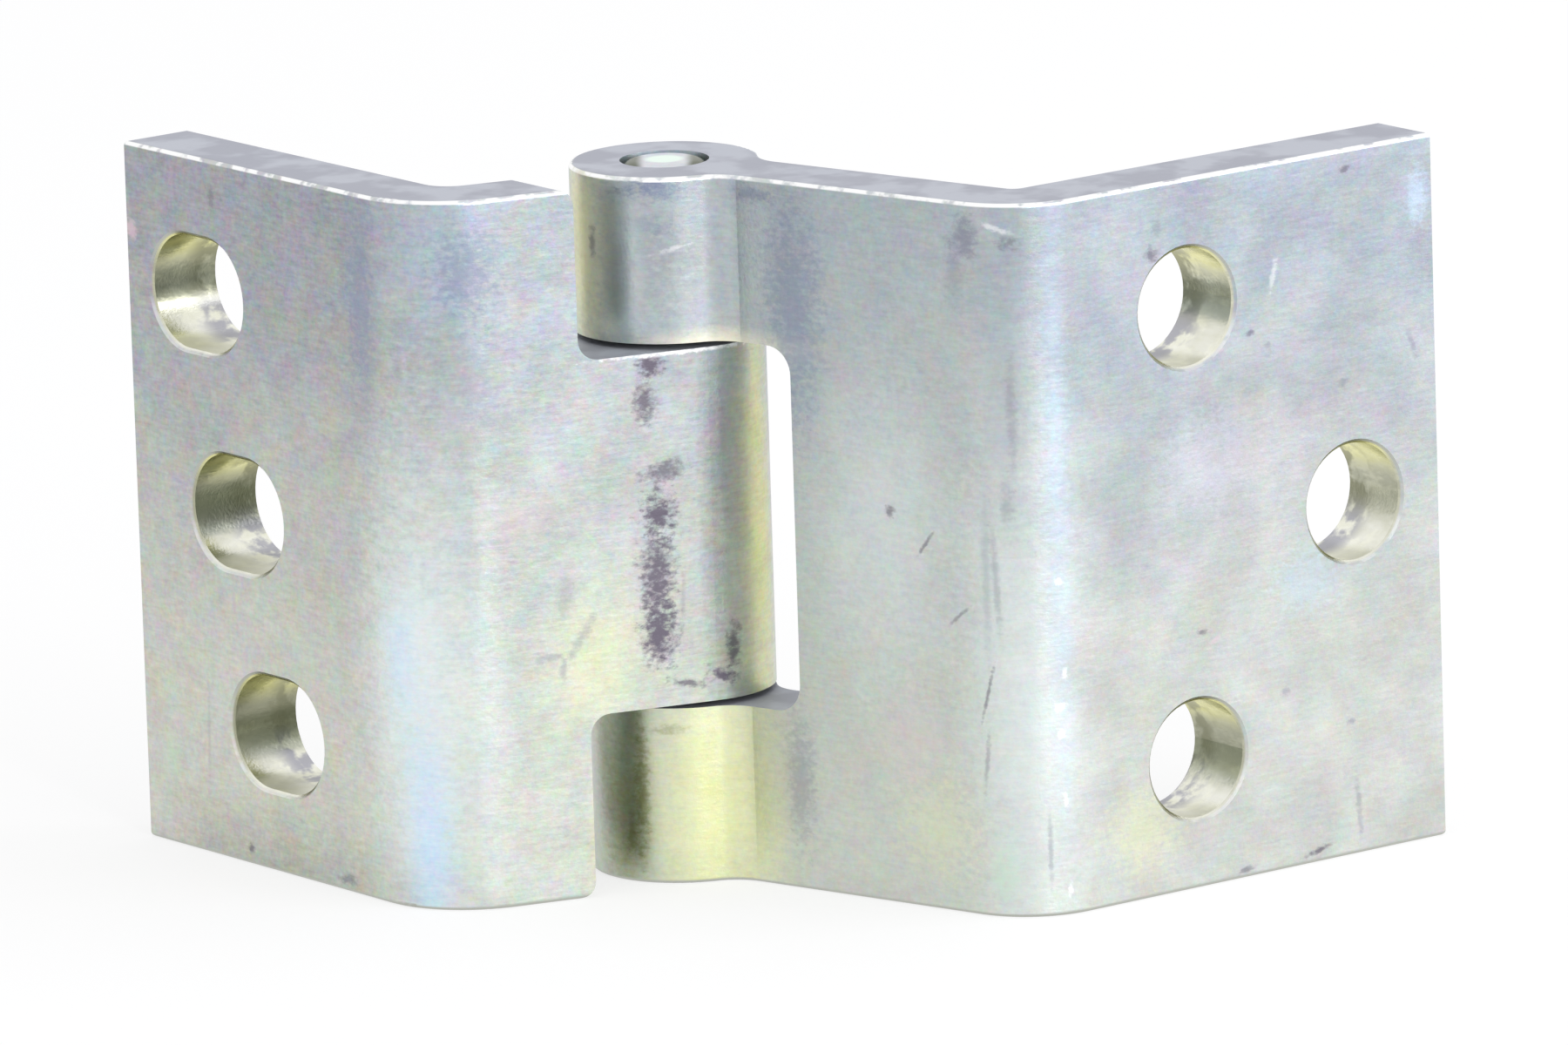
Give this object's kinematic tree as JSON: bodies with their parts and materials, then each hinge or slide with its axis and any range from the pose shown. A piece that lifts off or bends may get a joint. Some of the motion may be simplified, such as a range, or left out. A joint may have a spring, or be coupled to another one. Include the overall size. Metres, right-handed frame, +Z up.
{
  "type": "tailgate hinge",
  "caption": "Pin hinge with bent steel leaves, a slotted flange for adjustment and a drilled flange, that hangs a tailgate on a vehicle body.",
  "frame": {"origin": "on the pin's axis at its lower end, level with the foot of both leaves", "axes": "+Z up along the pin; +X along the drilled flange, away from its bend; +Y along the slotted flange, away from its bend, in the pose modelled"},
  "size_m": [0.0659, 0.0657, 0.0508],
  "materials": {
    "slotted_leaf": "bright zinc plate, satin, faintly iridescent",
    "drilled_leaf": "bright zinc plate, satin, faintly iridescent",
    "hinge_pin": "bright zinc plate, satin"
  },
  "bodies": {
    "drilled_side": {"drilled_leaf": "drilled_leaf", "hinge_pin": "hinge_pin"},
    "slotted_side": {"slotted_leaf": "slotted_leaf"}
  },
  "joints": [
    {"name": "pin_swing", "type": "hinge", "parent": "drilled_side", "child": "slotted_side", "pos_m": [0, 0, 0], "axis": [0, 0, 1], "range_deg": [-161, 71]}
  ]
}
